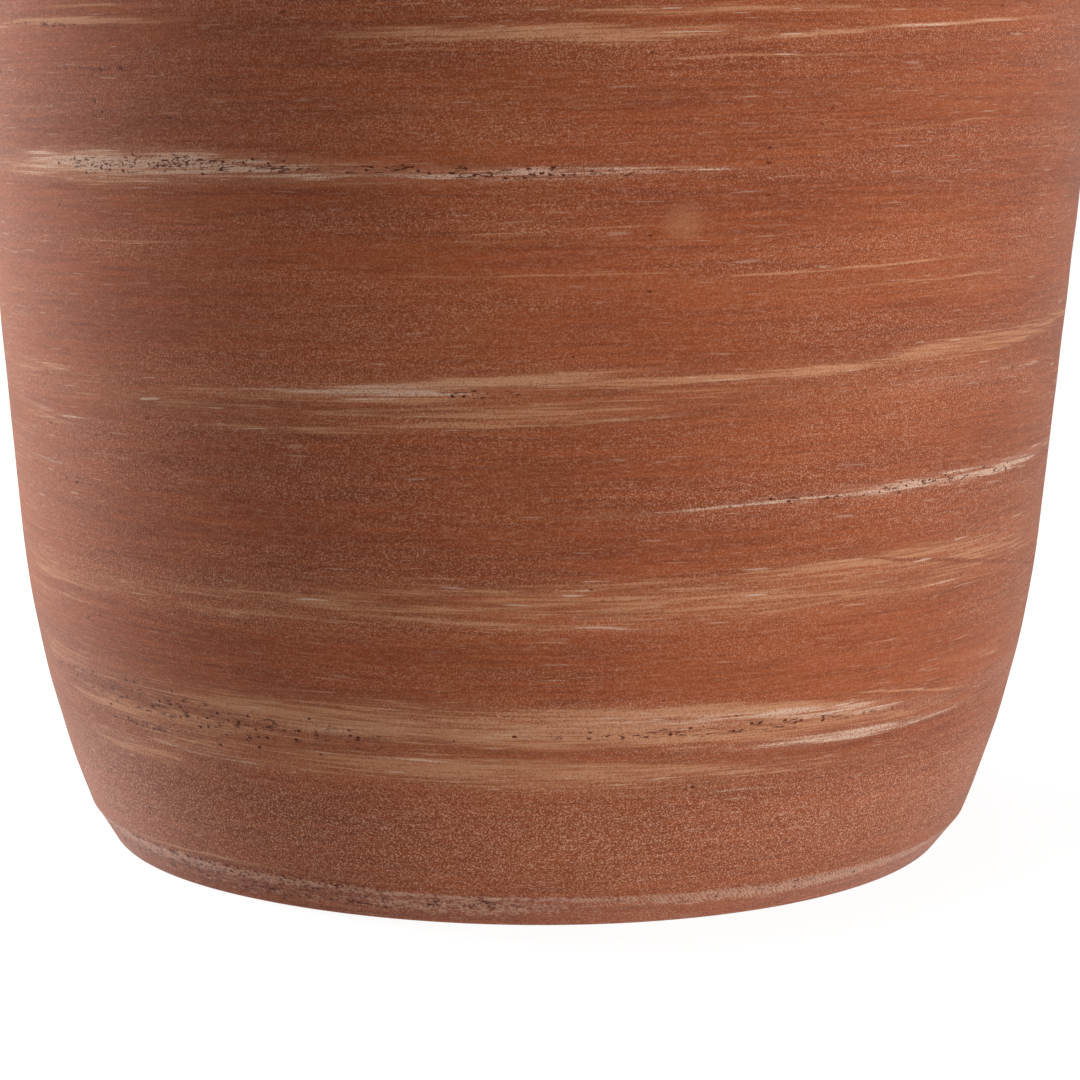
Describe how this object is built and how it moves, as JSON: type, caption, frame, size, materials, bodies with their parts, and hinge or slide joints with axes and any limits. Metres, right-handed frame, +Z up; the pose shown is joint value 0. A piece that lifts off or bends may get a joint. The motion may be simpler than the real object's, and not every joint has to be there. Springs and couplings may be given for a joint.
{
  "type": "hydria jar",
  "caption": "Unglazed terracotta water jar with a wide bevelled base, full belly, sloping shoulder, short neck, rolled lip, looped lifting handles and a strap handle for pouring.",
  "frame": {"origin": "centre of the standing surface, on the jar's axis", "axes": "+Z up along the jar's axis, +X through the right lifting handle, +Y through the pouring handle at the back"},
  "size_m": [0.4406, 0.341, 0.4947],
  "materials": {
    "terracotta": "matte"
  },
  "bodies": {
    "root": {"base_slab": "terracotta", "base_seam_coil": "terracotta", "lower_wall": "terracotta", "belly_seam_coil": "terracotta", "shoulder": "terracotta", "neck": "terracotta", "lip_coil": "terracotta", "right_handle": "terracotta", "right_handle_roots": "terracotta", "left_handle": "terracotta", "left_handle_roots": "terracotta", "back_handle": "terracotta", "back_handle_roots": "terracotta"}
  },
  "joints": []
}
